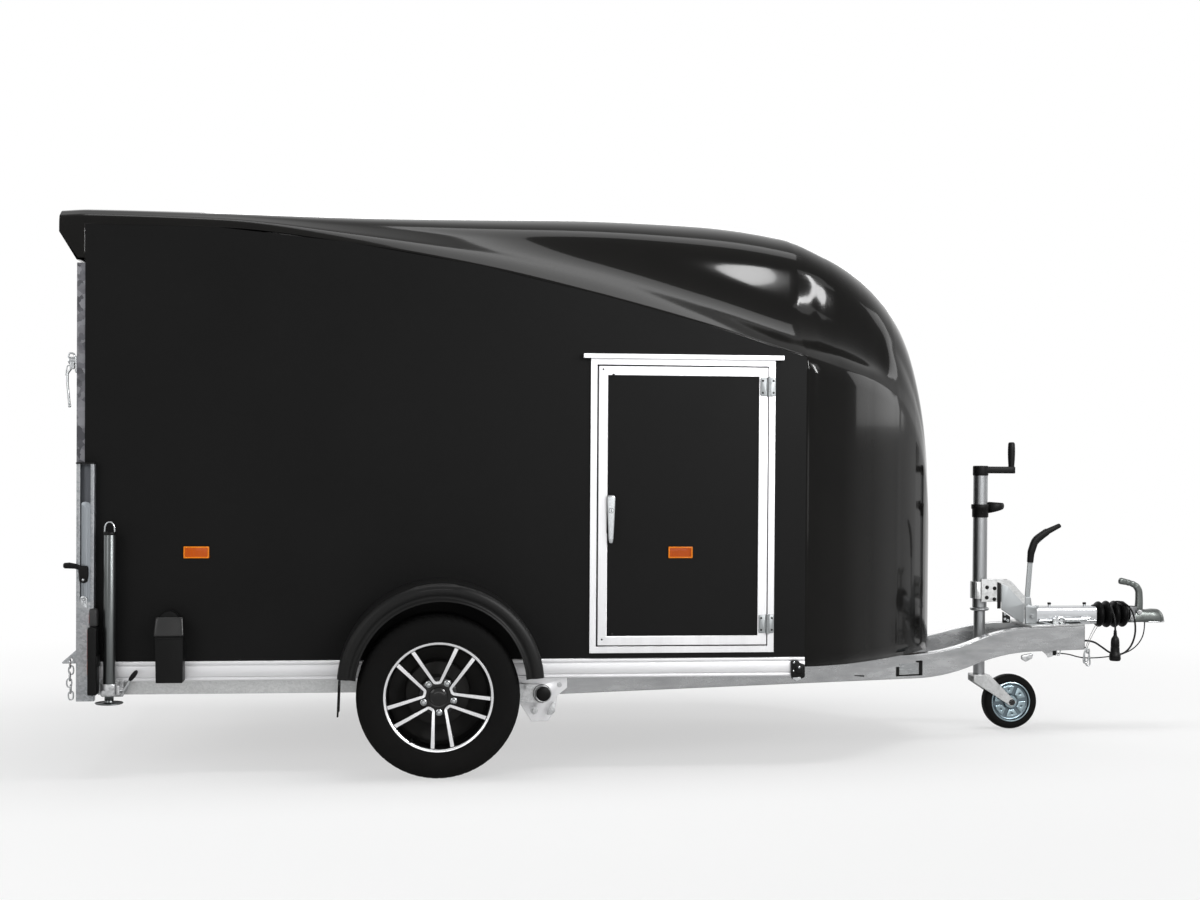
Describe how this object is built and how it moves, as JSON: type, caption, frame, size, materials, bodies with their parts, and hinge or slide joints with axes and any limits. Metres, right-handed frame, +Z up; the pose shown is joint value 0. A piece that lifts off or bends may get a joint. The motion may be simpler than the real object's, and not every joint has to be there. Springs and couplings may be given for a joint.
{
  "type": "box trailer",
  "caption": "Single-axle enclosed box trailer with a moulded roof and nose, rear ramp, side door, A-frame drawbar, overrun coupling, jockey wheel and prop stands.",
  "frame": {"origin": "on the ground under the middle of the trailer's length and width", "axes": "+X forward to the coupling, +Y to the trailer's left, +Z up"},
  "size_m": [4.452, 2, 2.0968],
  "materials": {
    "moulding": "gloss",
    "wall_black": "satin",
    "floor_ply": "satin",
    "aluminium": "satin",
    "galvanised": "matte",
    "plated": "satin",
    "tyre": "matte",
    "rim_alloy": "satin",
    "drum": "matte",
    "black_plastic": "matte",
    "amber": "gloss",
    "lamp_lens": "gloss",
    "cable": "matte"
  },
  "bodies": {
    "trailer": {"bellows": "black_plastic", "breakaway_cable": "cable", "cable_clip": "black_plastic", "cable_plug": "black_plastic", "chassis_frame": "galvanised", "corner_posts": "galvanised", "coupling_handle": "galvanised", "coupling_head": "galvanised", "coupling_mount": "galvanised", "door_frame": "aluminium", "drawbar_beams": "galvanised", "electric_cable": "cable", "floor_board": "floor_ply", "handbrake_lever": "plated", "hinge_leaves": "aluminium", "jockey_clamp": "galvanised", "jockey_tube": "galvanised", "lead_gland": "black_plastic", "marker_lamps": "black_plastic", "mud_flaps": "black_plastic", "mudguards": "black_plastic", "overrun_housing": "galvanised", "ramp_struts": "plated", "rear_portal": "aluminium", "rear_sill": "aluminium", "reflectors": "amber", "roof_shell": "moulding", "side_wall_left": "wall_black", "side_wall_right": "wall_black", "sills": "aluminium", "stand_clamps": "galvanised", "suspension_beam": "galvanised", "tail_lamps": "lamp_lens", "trailing_arms": "galvanised", "wheel_chocks": "black_plastic"},
    "wheel_right": {"tyre_right": "tyre", "rim_right": "rim_alloy", "hub_right": "drum"},
    "wheel_left": {"tyre_left": "tyre", "rim_left": "rim_alloy", "hub_left": "drum"},
    "side_door": {"door_leaf": "aluminium", "door_panel": "wall_black", "door_hinges": "aluminium", "door_handle": "plated", "door_reflector": "amber"},
    "ramp": {"ramp_frame": "aluminium", "ramp_panel": "wall_black", "ramp_latches": "plated"},
    "jockey_inner": {"jockey_leg": "galvanised"},
    "jockey_caster": {"jockey_fork": "galvanised"},
    "jockey_wheel": {"jockey_tyre": "tyre", "jockey_rim": "plated"},
    "prop_stand_right": {"stand_right": "galvanised"},
    "prop_stand_left": {"stand_left": "galvanised"}
  },
  "joints": [
    {"name": "wheel_right_spin", "type": "hinge", "parent": "trailer", "child": "wheel_right", "pos_m": [-0.884, -0.89, 0.291], "axis": [0, 1, 0], "continuous": true},
    {"name": "wheel_left_spin", "type": "hinge", "parent": "trailer", "child": "wheel_left", "pos_m": [-0.884, 0.89, 0.291], "axis": [0, 1, 0], "continuous": true},
    {"name": "side_door_hinge", "type": "hinge", "parent": "trailer", "child": "side_door", "pos_m": [0.3325, -0.796, 0.963], "axis": [0, 0, 1], "range_deg": [0, 170]},
    {"name": "ramp_hinge", "type": "hinge", "parent": "trailer", "child": "ramp", "pos_m": [-2.153, 0, 0.396], "axis": [0, -1, 0], "range_deg": [0, 103]},
    {"name": "jockey_slide", "type": "slide", "parent": "trailer", "child": "jockey_inner", "axis": [0, 0, 1], "range_m": [0, 0.18]},
    {"name": "jockey_swivel", "type": "hinge", "parent": "jockey_inner", "child": "jockey_caster", "pos_m": [1.414, 0, 0.232], "axis": [0, 0, 1], "continuous": true},
    {"name": "jockey_wheel_spin", "type": "hinge", "parent": "jockey_caster", "child": "jockey_wheel", "pos_m": [1.546, 0, 0.115], "axis": [0, 1, 0], "continuous": true},
    {"name": "stand_right_slide", "type": "slide", "parent": "trailer", "child": "prop_stand_right", "axis": [0, 0, 1], "range_m": [-0.256, 0]},
    {"name": "stand_left_slide", "type": "slide", "parent": "trailer", "child": "prop_stand_left", "axis": [0, 0, 1], "range_m": [-0.256, 0]}
  ]
}
